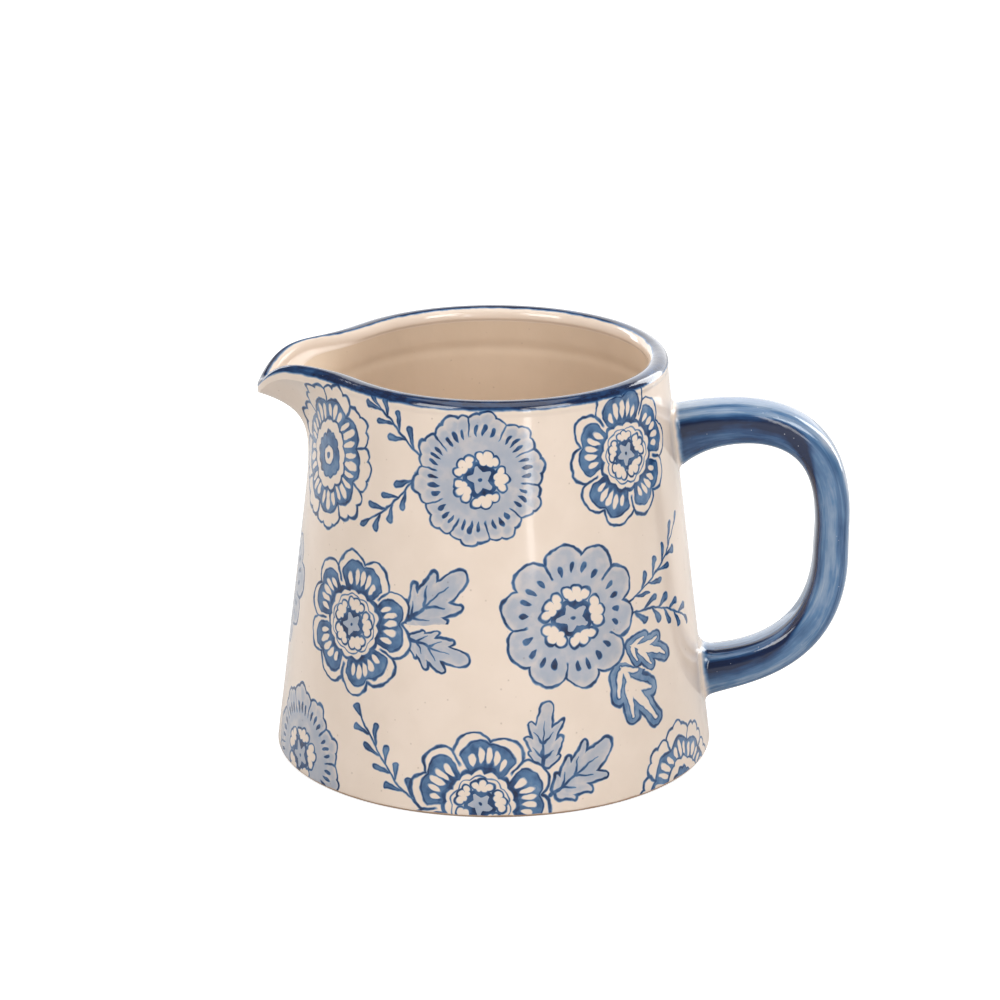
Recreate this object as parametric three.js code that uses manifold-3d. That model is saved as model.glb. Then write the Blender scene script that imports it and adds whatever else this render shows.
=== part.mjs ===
// A cream jug: a tapered stoneware pot with a beak pulled from its lip, a painted rolled rim
// and a strap handle luted on opposite the beak. Millimetres, +Z up, +X towards the handle.
import * as THREE from 'three';
import { mergeVertices } from 'three/addons/utils/BufferGeometryUtils.js';
import Module from 'manifold-3d';

// Pot
const HEIGHT = 90;
const BASE_RADIUS = 48.5;
const RIM_RADIUS = 37.8;
const WALL = 4.2;
const FLOOR = 4.6;
const FOOT_HEIGHT = 2.2;
const FOOT_WIDTH = 6.5;
const FOOT_ROUND = 0.8;
const LIP_HEIGHT = 3.2;
const LIP_PROUD = 0.25;

// Beak, measured from the rim circle it is pulled from; spreads are in radians
const BEAK_REACH = 12.9;
const BEAK_SPREAD = 0.29;
const BEAK_SHARPNESS = 1.9;
const BEAK_FLARE = 4;
const TIP_WALL = 3.2;
const CHANNEL_FLARE = 8;
const CHANNEL_EDGE = 0.8;
const TIP_DROOP = 6;
const DROOP_SPREAD = 0.12;
const DROOP_FADE = 12;
const BEAK_DEPTH = 25;
const BEAK_HALF_ANGLE = 0.46;

// Handle: two cubic curves that meet upright at the grip
const TOP_ROOT_HEIGHT = 72.7;
const TOP_ROOT_RISE = 0.22;
const TOP_ROOT_PULL = 40;
const GRIP_REACH = 74.6;
const GRIP_HEIGHT = 44.5;
const GRIP_PULL_UP = 9;
const GRIP_PULL_DOWN = 26;
const LOW_ROOT_HEIGHT = 14.9;
const LOW_ROOT_RISE = 0.39;
const LOW_ROOT_PULL = 7;
const STRAP_HALF_WIDTH = 5.5;
const GRIP_HALF_THICKNESS = 3.8;
const TOP_HALF_THICKNESS = 4.8;
const LOW_HALF_THICKNESS = 4.5;
const STRAP_SQUARENESS = 0.8;
const TOP_FLARE = 3.6;
const LOW_FLARE = 1.8;
const FLARE_LENGTH = 0.07;

// Clay luted between the handle's ends and the pot
const LUTE_THICKNESS = 1.5;
const LUTE_SPREAD = 3.2;

// Clearance between neighbouring pieces
const SEAM = 0.3;

// Facets
const RING_STEP = Math.PI / 36;
const BEAK_STEP = Math.PI / 90;
const WALL_ROWS = [4.8, 6.4, 8.4, 11, 14, 18, BEAK_DEPTH, 40]; // depths below the rim
const CROWN_TURNS = 7;
const STRAP_SIDES = 20;
const STRAP_STEPS = 30;
const DOME_SIDES = 28;
const DOME_ROWS = 14;
const FOOT_CHAMFER = 0.3; // share of the foot's rounding that its one middle point cuts off

// How far cutting shapes run past what they cut
const OVERRUN = 20;

// Points closer than this are one point
const WELD = 1e-3;
const ANGLE_WELD = 1e-6;

const wasm = await Module();
wasm.setup();

const FOOT_TOP = FOOT_HEIGHT + SEAM;
const FLOOR_TOP = FOOT_TOP + FLOOR;
const BEAK_ANGLE = Math.PI;
const CHANNEL_REACH = BEAK_REACH + WALL - TIP_WALL;

const coneRadius = (z) => BASE_RADIUS + ((RIM_RADIUS - BASE_RADIUS) * z) / HEIGHT;

// How far an angle is from the beak's, -PI to PI
function fromBeak(angle) {
  return Math.atan2(Math.sin(angle - BEAK_ANGLE), Math.cos(angle - BEAK_ANGLE));
}

function pull(angle) {
  return Math.exp(-Math.pow(Math.abs(fromBeak(angle)) / BEAK_SPREAD, BEAK_SHARPNESS));
}

function droop(angle) {
  return TIP_DROOP * Math.exp(-Math.pow(fromBeak(angle) / DROOP_SPREAD, 2));
}

// Height of the pot's skin at a depth below the rim, lowered where the beak's tip droops
function skinHeight(angle, depth) {
  const fade = Math.exp(-Math.max(depth - LIP_HEIGHT, 0) / DROOP_FADE);
  return HEIGHT - depth - droop(angle) * fade;
}

function outerRadius(angle, depth) {
  const z = skinHeight(angle, depth);
  const below = Math.max(HEIGHT - droop(angle) - z - LIP_HEIGHT, 0);
  return coneRadius(z) + BEAK_REACH * pull(angle) * Math.exp(-below / BEAK_FLARE);
}

function innerRadius(angle, depth) {
  const z = skinHeight(angle, depth);
  const below = HEIGHT - droop(angle) - z;
  const sunk = Math.exp(-Math.max(below - CHANNEL_EDGE, 0) / CHANNEL_FLARE);
  return coneRadius(z) - WALL + CHANNEL_REACH * pull(angle) * sunk;
}

function onPot(angle, radius, z) {
  return new THREE.Vector3(radius * Math.cos(angle), radius * Math.sin(angle), z);
}

// Angles round the pot, closer together at the beak
function ringAngles() {
  const angles = [];
  let angle = -Math.PI;
  while (angle < Math.PI - ANGLE_WELD) {
    angles.push(angle);
    const near = Math.abs(fromBeak(angle + ANGLE_WELD)) < BEAK_HALF_ANGLE;
    angle += near ? BEAK_STEP : RING_STEP;
  }
  return angles;
}

// A closed skin through rings of points; the last ring joins the first, or both ends are capped
function loft(rings, joined) {
  const sides = rings[0].length;
  const points = rings.flat();
  const faces = [];
  const spans = joined ? rings.length : rings.length - 1;
  for (let i = 0; i < spans; i++) {
    const here = i * sides;
    const next = ((i + 1) % rings.length) * sides;
    for (let j = 0; j < sides; j++) {
      const k = (j + 1) % sides;
      faces.push(here + j, next + j, here + k);
      faces.push(here + k, next + j, next + k);
    }
  }
  if (!joined) {
    for (const [ring, first] of [[rings[0], 0], [rings.at(-1), (rings.length - 1) * sides]]) {
      const middle = ring.reduce((sum, p) => sum.add(p), new THREE.Vector3()).divideScalar(sides);
      points.push(middle);
      for (let j = 0; j < sides; j++) {
        const k = (j + 1) % sides;
        const cap = first === 0 ? [j, k] : [k, j];
        faces.push(first + cap[0], first + cap[1], points.length - 1);
      }
    }
  }
  return new THREE.BufferGeometry().setFromPoints(points).setIndex(faces);
}

function solid(geometry) {
  const bare = geometry.clone();
  bare.deleteAttribute('normal');
  bare.deleteAttribute('uv');
  const merged = mergeVertices(bare, WELD);
  return new wasm.Manifold(
    new wasm.Mesh({
      numProp: 3,
      vertProperties: new Float32Array(merged.attributes.position.array),
      triVerts: new Uint32Array(merged.index.array),
    }),
  );
}

function geometryOf(manifold) {
  const { vertProperties, triVerts } = manifold.getMesh();
  const geometry = new THREE.BufferGeometry();
  geometry.setAttribute('position', new THREE.BufferAttribute(vertProperties, 3));
  geometry.setIndex(new THREE.BufferAttribute(triVerts, 1));
  return geometry;
}

function lathe(profile) {
  const points = profile.map(([r, z]) => new THREE.Vector2(r, z));
  const sides = Math.round((2 * Math.PI) / RING_STEP);
  return new THREE.LatheGeometry(points, sides).rotateX(Math.PI / 2);
}

// The pot's outside as a plug that stands a clearance proud of it, for cutting what meets the wall
function potPlug(clearance) {
  const top = HEIGHT + OVERRUN;
  const bottom = -OVERRUN;
  return solid(lathe([
    [0, bottom],
    [coneRadius(bottom) + clearance, bottom],
    [coneRadius(top) + clearance, top],
    [0, top],
  ]));
}

// Wedge of the wall that the beak takes, smaller all round by a clearance
function beakWedge(clearance) {
  const back = -clearance / Math.sin(BEAK_HALF_ANGLE);
  const reach = BASE_RADIUS + BEAK_REACH + OVERRUN;
  const wedge = new THREE.Shape([
    new THREE.Vector2(back, 0),
    new THREE.Vector2(back - reach, -reach * Math.tan(BEAK_HALF_ANGLE)),
    new THREE.Vector2(back - reach, reach * Math.tan(BEAK_HALF_ANGLE)),
  ]);
  const geometry = new THREE.ExtrudeGeometry(wedge, { depth: HEIGHT, bevelEnabled: false });
  return solid(geometry.translate(0, 0, HEIGHT - BEAK_DEPTH + clearance));
}

// The whole wall, beak and all, as one band from the foot to under the lip
function potBand() {
  const top = LIP_HEIGHT + SEAM;
  const bottom = HEIGHT - FOOT_TOP;
  const rows = [top, ...WALL_ROWS, bottom];
  const rings = ringAngles().map((angle) => {
    const outside = rows.map((depth) => onPot(angle, outerRadius(angle, depth), skinHeight(angle, depth)));
    const inside = rows.map((depth) => onPot(angle, innerRadius(angle, depth), skinHeight(angle, depth)));
    return [...outside.reverse(), ...inside];
  });
  return solid(loft(rings, true));
}

function footRing() {
  const outer = coneRadius(0);
  const inner = outer - FOOT_WIDTH;
  return lathe([
    [inner + FOOT_ROUND, 0],
    [outer - FOOT_ROUND, 0],
    [outer - FOOT_ROUND * FOOT_CHAMFER, FOOT_ROUND * FOOT_CHAMFER],
    [coneRadius(FOOT_ROUND), FOOT_ROUND],
    [coneRadius(FOOT_HEIGHT), FOOT_HEIGHT],
    [inner, FOOT_HEIGHT],
    [inner, FOOT_ROUND],
    [inner + FOOT_ROUND, 0],
  ]);
}

function baseDisc() {
  const edge = (z) => coneRadius(z) - WALL - SEAM;
  return lathe([
    [0, FOOT_TOP],
    [edge(FOOT_TOP), FOOT_TOP],
    [edge(FLOOR_TOP), FLOOR_TOP],
    [0, FLOOR_TOP],
  ]);
}

// The rolled lip: it carries on the wall's two skins and closes them with a half-round top
function rimBead() {
  const rings = ringAngles().map((angle) => {
    const outer = outerRadius(angle, LIP_HEIGHT) + LIP_PROUD;
    const inner = innerRadius(angle, CHANNEL_EDGE);
    const middle = (outer + inner) / 2;
    const half = (outer - inner) / 2;
    const crown = skinHeight(angle, 0) - half;
    const ring = [onPot(angle, outer, skinHeight(angle, LIP_HEIGHT))];
    for (let i = 0; i <= CROWN_TURNS; i++) {
      const turn = (Math.PI * i) / CROWN_TURNS;
      ring.push(onPot(angle, middle + half * Math.cos(turn), crown + half * Math.sin(turn)));
    }
    for (const depth of [(half + LIP_HEIGHT) / 2, LIP_HEIGHT]) {
      ring.push(onPot(angle, innerRadius(angle, depth), skinHeight(angle, depth)));
    }
    return ring;
  });
  return loft(rings, true);
}

// The handle's middle line in the XZ plane, from the top root to the low root
function strapLine() {
  const point = (x, z) => new THREE.Vector3(x, 0, z);
  const away = (from, length, rise) => {
    return point(from.x + length * Math.cos(rise), from.z + length * Math.sin(rise));
  };
  const top = point(coneRadius(TOP_ROOT_HEIGHT), TOP_ROOT_HEIGHT);
  const low = point(coneRadius(LOW_ROOT_HEIGHT), LOW_ROOT_HEIGHT);
  const grip = point(GRIP_REACH, GRIP_HEIGHT);
  const path = new THREE.CurvePath();
  path.add(new THREE.CubicBezierCurve3(
    top,
    away(top, TOP_ROOT_PULL, TOP_ROOT_RISE),
    point(GRIP_REACH, GRIP_HEIGHT + GRIP_PULL_UP),
    grip,
  ));
  path.add(new THREE.CubicBezierCurve3(
    grip,
    point(GRIP_REACH, GRIP_HEIGHT - GRIP_PULL_DOWN),
    away(low, LOW_ROOT_PULL, LOW_ROOT_RISE),
    low,
  ));
  return path;
}

// Half the strap's thickness at a share of its length, thickened into each root
function strapHalfThickness(share) {
  const ends = share < 0.5 ? TOP_HALF_THICKNESS : LOW_HALF_THICKNESS;
  const middle = 1 - Math.abs(share * 2 - 1);
  return THREE.MathUtils.lerp(ends, GRIP_HALF_THICKNESS, middle);
}

function strapSection(centre, along, share) {
  const inward = new THREE.Vector3(along.z, 0, -along.x);
  const topFlare = TOP_FLARE * Math.exp(-share / FLARE_LENGTH);
  const lowFlare = LOW_FLARE * Math.exp(-(1 - share) / FLARE_LENGTH);
  const ring = [];
  for (let i = 0; i < STRAP_SIDES; i++) {
    const turn = (-2 * Math.PI * i) / STRAP_SIDES;
    const squared = (v) => Math.sign(v) * Math.pow(Math.abs(v), STRAP_SQUARENESS);
    const through = squared(Math.cos(turn));
    const thickness = strapHalfThickness(share) + (through > 0 ? topFlare + lowFlare : 0);
    const across = squared(Math.sin(turn)) * STRAP_HALF_WIDTH;
    const point = centre.clone().addScaledVector(inward, through * thickness);
    ring.push(point.setY(across));
  }
  return ring;
}

function strap() {
  const line = strapLine();
  const rings = [];
  const runIn = WALL / 2;
  for (let i = 0; i <= STRAP_STEPS; i++) {
    const share = i / STRAP_STEPS;
    const centre = line.getPointAt(share);
    const along = line.getTangentAt(share);
    if (i === 0) rings.push(strapSection(centre.clone().addScaledVector(along, -runIn), along, share));
    rings.push(strapSection(centre, along, share));
    if (i === STRAP_STEPS) {
      rings.push(strapSection(centre.clone().addScaledVector(along, runIn), along, share));
    }
  }
  return solid(loft(rings, false));
}

// A flat dome of clay on the wall, a little larger than the handle end that sits on it
function luteDome(height, halfThickness, grow) {
  const dome = new THREE.SphereGeometry(1, DOME_SIDES, DOME_ROWS);
  dome.scale(
    SEAM + LUTE_THICKNESS + grow,
    STRAP_HALF_WIDTH + LUTE_SPREAD + grow,
    halfThickness + LUTE_SPREAD + grow,
  );
  return solid(dome.translate(coneRadius(height), 0, height));
}

const jug = new THREE.Group();

function add(name, geometry, color, roughness) {
  const mesh = new THREE.Mesh(geometry, new THREE.MeshStandardMaterial({ color, roughness, metalness: 0 }));
  mesh.name = name;
  jug.add(mesh);
}

const CREAM = 0xe8d9c6;
const TAN = 0xc4a88c;
const COBALT = 0x2c4a80;
const BARE_CLAY = 0xb08f70;

const band = potBand();
const topLute = [TOP_ROOT_HEIGHT - TOP_FLARE / 2, TOP_HALF_THICKNESS + TOP_FLARE / 2];
const lowLute = [LOW_ROOT_HEIGHT + LOW_FLARE / 2, LOW_HALF_THICKNESS + LOW_FLARE / 2];
const wallSide = potPlug(SEAM);
const handle = strap()
  .subtract(potPlug(SEAM + LUTE_THICKNESS))
  .subtract(luteDome(...topLute, SEAM))
  .subtract(luteDome(...lowLute, SEAM));

add('foot_ring', footRing(), BARE_CLAY, 0.85);
add('base_disc', baseDisc(), TAN, 0.2);
add('body_wall', geometryOf(band.subtract(beakWedge(0))), CREAM, 0.15);
add('pouring_spout', geometryOf(band.intersect(beakWedge(SEAM))), CREAM, 0.15);
add('rim_bead', rimBead(), COBALT, 0.15);
add('handle', geometryOf(handle), COBALT, 0.15);
add('handle_upper_joint', geometryOf(luteDome(...topLute, 0).subtract(wallSide)), CREAM, 0.2);
add('handle_lower_joint', geometryOf(luteDome(...lowLute, 0).subtract(wallSide)), CREAM, 0.2);

// The origin stands on the table, in the middle of the jug's length
const bounds = new THREE.Box3().setFromObject(jug);
jug.position.x = -(bounds.min.x + bounds.max.x) / 2;

export default jug;
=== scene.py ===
# %% [markdown]
# # A painted cream jug
# The jug is one fired piece of stoneware: a tapered pot with a beak pulled from its lip, a rolled
# rim, a strap handle and hand-painted flowers under a glossy glaze. The frame gives its parts as
# plain solids. Each is replaced here by a finer skin on the same lines, cut where the solids are
# cut, so that the pieces meet point for point and the seams don't show.

# %% Load the frame
import math

import bpy
import numpy as np
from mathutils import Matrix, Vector


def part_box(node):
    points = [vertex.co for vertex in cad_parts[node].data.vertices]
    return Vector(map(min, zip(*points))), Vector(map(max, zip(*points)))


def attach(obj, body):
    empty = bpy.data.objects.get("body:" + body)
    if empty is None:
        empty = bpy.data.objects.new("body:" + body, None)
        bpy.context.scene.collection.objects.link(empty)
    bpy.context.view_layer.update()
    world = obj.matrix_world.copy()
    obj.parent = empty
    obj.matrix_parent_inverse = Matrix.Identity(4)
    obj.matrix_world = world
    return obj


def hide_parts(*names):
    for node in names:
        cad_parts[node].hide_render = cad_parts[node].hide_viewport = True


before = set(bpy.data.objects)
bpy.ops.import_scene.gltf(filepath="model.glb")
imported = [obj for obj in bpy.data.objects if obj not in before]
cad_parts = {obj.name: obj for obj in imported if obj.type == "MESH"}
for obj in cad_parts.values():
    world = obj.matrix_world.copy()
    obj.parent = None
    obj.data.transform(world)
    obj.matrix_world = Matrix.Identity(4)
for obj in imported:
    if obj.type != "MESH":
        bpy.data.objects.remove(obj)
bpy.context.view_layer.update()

print("solids:", sorted(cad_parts))

# %% [markdown]
# ## Sizes
# The frame is in metres and a potter thinks in millimetres, so the shapes are worked out in
# millimetres from the pot's own axis and moved into the frame when a mesh is made. Whatever a
# solid's box can tell is read from the box. The rest are the maker's own numbers for the curves.

# %% Sizes from the frame
MM = 0.001
CLEAR = 0.03  # how far the fine skin stays inside the solids' box


def box_mm(node):
    low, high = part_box(node)
    return np.array(low) / MM, np.array(high) / MM


foot_low, foot_high = box_mm("foot_ring")
floor_low, floor_high = box_mm("base_disc")
rim_low, rim_high = box_mm("rim_bead")
handle_low, handle_high = box_mm("handle")

AXIS_X = (foot_low[0] + foot_high[0]) / 2
HEIGHT = rim_high[2] - CLEAR
FOOT_TOP = floor_low[2]
FLOOR_TOP = floor_high[2]

LIP_HEIGHT = 3.2
LIP_PROUD = 0.25
FOOT_ROUND = 0.8
FOOT_WIDTH = 6.5
SEAM = 0.3

foot_radius = (foot_high[1] - foot_low[1]) / 2 - CLEAR
lip_radius = (rim_high[1] - rim_low[1]) / 2 - LIP_PROUD - CLEAR
TAPER = (lip_radius - foot_radius) / (HEIGHT - LIP_HEIGHT - FOOT_ROUND)


def cone_radius(z):
    return foot_radius + TAPER * (z - FOOT_ROUND)


WALL = cone_radius(FOOT_TOP) - (floor_high[1] - floor_low[1]) / 2 - SEAM

BEAK_SPREAD = 0.29
BEAK_SHARPNESS = 1.9
BEAK_FLARE = 4.0
TIP_WALL = 3.2
CHANNEL_FLARE = 8.0
CHANNEL_EDGE = 0.8
TIP_DROOP = 6.0
DROOP_SPREAD = 0.12
DROOP_FADE = 12.0
BEAK_DEPTH = 25.0
BEAK_HALF_ANGLE = 0.46
tip_height = HEIGHT - LIP_HEIGHT - TIP_DROOP
BEAK_REACH = AXIS_X - rim_low[0] - cone_radius(tip_height) - LIP_PROUD - CLEAR
CHANNEL_REACH = BEAK_REACH + WALL - TIP_WALL

print(f"axis {AXIS_X:.2f}, height {HEIGHT:.2f}, wall {WALL:.2f}, beak {BEAK_REACH:.2f} mm")

# %% [markdown]
# ## Camera
# A long lens a metre away keeps the jug's sides nearly parallel. It looks down at 19 degrees, so
# the mouth opens as an ellipse and the inside shows. Distances are in millimetres.

# %% Camera
CAMERA_LENS = 162.1
CAMERA_SENSOR = 36.0
CAMERA_SIDE = 1.35
CAMERA_BACK = 940.0
CAMERA_HEIGHT = 375.3
CAMERA_PITCH = 18.78

camera = bpy.data.objects.new("camera", bpy.data.cameras.new("camera"))
bpy.context.scene.collection.objects.link(camera)
camera.data.lens = CAMERA_LENS
camera.data.sensor_width = CAMERA_SENSOR
camera.location = Vector((AXIS_X + CAMERA_SIDE, -CAMERA_BACK, CAMERA_HEIGHT)) * MM
camera.rotation_euler = (math.radians(90 - CAMERA_PITCH), 0, 0)
bpy.context.scene.camera = camera
print("camera at", [round(v, 3) for v in camera.location])

# %% [markdown]
# ## The pot's two skins
# A thrown pot is never perfectly round, so both skins lean in and out by a tenth of a millimetre
# or so. The beak is a smooth bump on the radius that dies away round the pot and down the wall,
# and its tip droops. One pair of functions gives the outer and the inner radius at any angle and
# depth below the rim, and every piece of the pot reads its points from them.

# %% Outer and inner radius
WOBBLE = 0.11
GROOVE_DEPTH = 9.5
GROOVE_SIZE = 0.22
GROOVE_WIDTH = 1.3


def from_beak(angle):
    return np.arctan2(np.sin(angle - math.pi), np.cos(angle - math.pi))


def pull(angle):
    return np.exp(-((np.abs(from_beak(angle)) / BEAK_SPREAD) ** BEAK_SHARPNESS))


def droop(angle):
    return TIP_DROOP * np.exp(-((from_beak(angle) / DROOP_SPREAD) ** 2))


def skin_height(angle, depth):
    fade = np.exp(-np.maximum(depth - LIP_HEIGHT, 0) / DROOP_FADE)
    return HEIGHT - depth - droop(angle) * fade


def wobble(angle, z):
    """Two slow leans round the pot, which twist as they rise, and fine throwing rings."""
    slow = np.sin(2 * angle + 0.7 + z / 37) + 0.6 * np.sin(3 * angle - 1.1 - z / 23)
    rings = 0.35 * np.sin(z / 3.4 + 0.8 * np.sin(angle))
    return WOBBLE * (slow + rings - 2.0) / 2.0


def outer_radius(angle, depth):
    z = skin_height(angle, depth)
    below = np.maximum(HEIGHT - droop(angle) - z - LIP_HEIGHT, 0)
    bump = BEAK_REACH * pull(angle) * np.exp(-below / BEAK_FLARE)
    return cone_radius(z) + bump + wobble(angle, z)


def inner_radius(angle, depth):
    z = skin_height(angle, depth)
    below = HEIGHT - droop(angle) - z
    sunk = np.exp(-np.maximum(below - CHANNEL_EDGE, 0) / CHANNEL_FLARE)
    groove = GROOVE_SIZE * np.exp(-(((depth - GROOVE_DEPTH) / GROOVE_WIDTH) ** 2))
    bump = CHANNEL_REACH * pull(angle) * sunk
    return cone_radius(z) - WALL + bump + groove + wobble(angle, z)


def on_pot(angle, radius, z):
    return np.stack([radius * np.cos(angle), radius * np.sin(angle), z], axis=-1)


# %% [markdown]
# ## One way to make every piece
# Each piece is a closed skin of four-sided faces. The maker below takes points in millimetres from
# the pot's axis, moves them into the frame, gives the faces their finishes, stores what the
# finishes need to know at each point, and hides the frame's solid that the piece stands for.

# %% Piece maker
CREASE = math.radians(50)


def make_piece(name, points, faces, node, finishes, finish_index=None, notes=None):
    points = np.reshape(np.asarray(points, float), (-1, 3))
    faces = facing_out(points, faces)
    mesh = bpy.data.meshes.new(name)
    placed = (points + (AXIS_X, 0, 0)) * MM
    mesh.from_pydata(placed.tolist(), [], [tuple(int(i) for i in face) for face in faces])
    for finish in finishes:
        mesh.materials.append(finish)
    if finish_index is not None:
        mesh.polygons.foreach_set("material_index", np.asarray(finish_index, np.int32))
    for title, values in (notes or {}).items():
        values = np.asarray(values, np.float32).ravel()
        single = len(values) == len(points)
        kind, field = ("FLOAT", "value") if single else ("FLOAT_VECTOR", "vector")
        mesh.attributes.new(title, kind, "POINT").data.foreach_set(field, values)
    mesh.polygons.foreach_set("use_smooth", [True] * len(mesh.polygons))
    mesh.set_sharp_from_angle(angle=CREASE)
    mesh.update()
    piece = bpy.data.objects.new(name, mesh)
    bpy.context.scene.collection.objects.link(piece)
    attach(piece, "root")
    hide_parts(node)
    print(f"{name}: {len(mesh.vertices)} points, {len(mesh.polygons)} faces")


def ring_faces(rings, sides, joined=True):
    """Faces between rings of points; each ring closes on itself."""
    faces = []
    for i in range(rings if joined else rings - 1):
        here, there = i * sides, (i + 1) % rings * sides
        for j in range(sides):
            k = (j + 1) % sides
            faces.append((here + j, there + j, there + k, here + k))
    return faces


def facing_out(points, faces):
    """The same faces, turned over if they enclose a negative volume."""
    points = np.asarray(points, float)
    a, b, c = (points[[face[i] for face in faces]] for i in (0, 1, 2))
    d = points[[face[-1] for face in faces]]
    volume = np.einsum("ij,ij->i", a, np.cross(b, c)).sum()
    volume += np.einsum("ij,ij->i", a, np.cross(c, d)).sum()
    return faces if volume > 0 else [face[::-1] for face in faces]


# %% [markdown]
# ## Arithmetic as nodes
# The painting is worked out by the shader from distances, in the way that a sign painter rules and
# strikes arcs before laying in the colour. Written as nodes one at a time that would be unreadable,
# so a small class lets ordinary sums build the Math nodes.

# %% Numbers that are nodes


class Number:
    """A value in a node tree. Sums with it add Math nodes to that tree."""

    def __init__(self, tree, socket):
        self.tree = tree
        self.socket = socket


def give_sum(sign, operation):
    """Lets a Number stand on either side of a sign."""
    setattr(Number, f"__{sign}__", lambda self, other: calc(operation, self, other))
    setattr(Number, f"__r{sign}__", lambda self, other: calc(operation, other, self))


give_sum("add", "ADD")
give_sum("sub", "SUBTRACT")
give_sum("mul", "MULTIPLY")
give_sum("truediv", "DIVIDE")


def wire(value, socket):
    """Links a Number to a socket, or sets a plain value on it."""
    if isinstance(value, Number):
        value.tree.links.new(value.socket, socket)
    else:
        socket.default_value = value


def out(node, socket=0):
    return Number(node.id_data, node.outputs[socket])


def new_node(kind, values, sockets=None, **settings):
    """A node in the tree that its values belong to, with the values fed into its sockets."""
    tree = next(value.tree for value in values if isinstance(value, Number))
    node = tree.nodes.new(kind)
    for name, setting in settings.items():
        setattr(node, name, setting)
    for value, socket in zip(values, sockets or range(len(values))):
        wire(value, node.inputs[socket])
    return node


def calc(operation, *values):
    return out(new_node("ShaderNodeMath", values, operation=operation))


def vector(operation, *values):
    node = new_node("ShaderNodeVectorMath", values, operation=operation)
    single = operation in ("DISTANCE", "LENGTH", "DOT_PRODUCT")
    return out(node, "Value" if single else "Vector")


def combine(x, y, z=0.0):
    return out(new_node("ShaderNodeCombineXYZ", (x, y, z)))


def split(point):
    node = new_node("ShaderNodeSeparateXYZ", (point,))
    return [out(node, axis) for axis in range(3)]


def step(value, low, high):
    """0 at low and 1 at high, with a soft S between; low may be the larger."""
    return out(
        new_node("ShaderNodeMapRange", (value, low, high), interpolation_type="SMOOTHSTEP")
    )


def mix(first, second, share, kind="FLOAT", blend="MIX"):
    inputs, result = {
        "FLOAT": ((0, 2, 3), 0), "VECTOR": ((0, 4, 5), 1), "RGBA": ((0, 6, 7), 2)
    }[kind]
    values = (share, first, second)
    return out(new_node("ShaderNodeMix", values, inputs, data_type=kind, blend_type=blend), result)


def noise(point, scale, detail=2.0, roughness=0.5):
    """A noise's value and its three colour channels."""
    node = new_node(
        "ShaderNodeTexNoise", (point, scale, detail, roughness),
        ("Vector", "Scale", "Detail", "Roughness"),
    )
    return out(node, "Fac"), out(node, "Color")


def cells(point, scale):
    """The distance from the nearest of many scattered dots, and three random facts of that dot."""
    node = new_node("ShaderNodeTexVoronoi", (point, scale), ("Vector", "Scale"))
    return out(node, "Distance"), split(out(node, "Color"))


def lowest(first, *others):
    for other in others:
        first = calc("MINIMUM", first, other)
    return first


def highest(first, *others):
    for other in others:
        first = calc("MAXIMUM", first, other)
    return first


def node_group(name, inputs, outputs):
    """Turns the function below it into a shader node group with these named sockets. Inputs give
    their default values, where None stands for a point; outputs give their kinds."""

    def build(draw):
        tree = bpy.data.node_groups.new(name, "ShaderNodeTree")
        for socket, value in inputs.items():
            kind = "Color" if isinstance(value, tuple) else "Vector" if value is None else "Float"
            kind = "NodeSocket" + kind
            made = tree.interface.new_socket(socket, in_out="INPUT", socket_type=kind)
            if value is not None:
                made.default_value = value
        for socket, kind in outputs.items():
            kind = "NodeSocket" + kind
            tree.interface.new_socket(socket, in_out="OUTPUT", socket_type=kind)
        start = tree.nodes.new("NodeGroupInput")
        end = tree.nodes.new("NodeGroupOutput")
        results = draw(*(out(start, socket) for socket in inputs))
        results = results if isinstance(results, tuple) else (results,)
        for result, socket in zip(results, outputs):
            wire(result, end.inputs[socket])
        print(f"group {name}: {len(tree.nodes)} nodes")
        return tree

    return build


def use_group(group, **values):
    """Places a group beside its inputs and returns its output, or a list if it has several."""
    names = [name.replace("_", " ") for name in values]
    node = new_node("ShaderNodeGroup", tuple(values.values()), names, node_tree=group)
    results = [out(node, i) for i in range(len(node.outputs))]
    return results if len(results) > 1 else results[0]


# %% [markdown]
# ## Clay, glaze and cobalt
# Six effects turn up in more than one finish, so each is a node group: the iron specks and faint
# mottling of stoneware clay, the slightly uneven skin of a poured glaze, cobalt pigment that lets
# less light through the thicker it lies, the long streaks that a loaded brush leaves, the ragged
# edge of brushed colour, and the pinholes where bubbles broke in it.

# %% Node group: clay
MOTTLE_DARK = (0.98, 0.973, 0.962, 1)
MOTTLE_PALE = (1.02, 1.02, 1.02, 1)
IRON = (0.33, 0.22, 0.15, 1)
SPECKS_PER_MM = 0.62


@node_group(
    "clay", {"Point": None, "Colour": (0.8, 0.7, 0.6, 1), "Specks": 0.5}, {"Colour": "Color"}
)
def clay(point, colour, specks):
    mottle, _ = noise(point, 0.11, 3.0)
    shade = mix(MOTTLE_DARK, MOTTLE_PALE, step(mottle, 0.3, 0.7), "RGBA")
    toned = mix(colour, shade, 1.0, "RGBA", "MULTIPLY")
    gap, (pick, _, _) = cells(point, SPECKS_PER_MM)
    size = 0.05 + 0.17 * step(pick, 0.72, 1.0)
    speck = step(gap, size, 0.0) * step(pick, 0.70, 0.76)
    return mix(toned, IRON, speck * specks, "RGBA")


# %% Node group: glaze skin
PEEL_SHARE = 0.16  # fine orange peel, beside the slow unevenness
PIT_SHARE = 0.35


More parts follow.
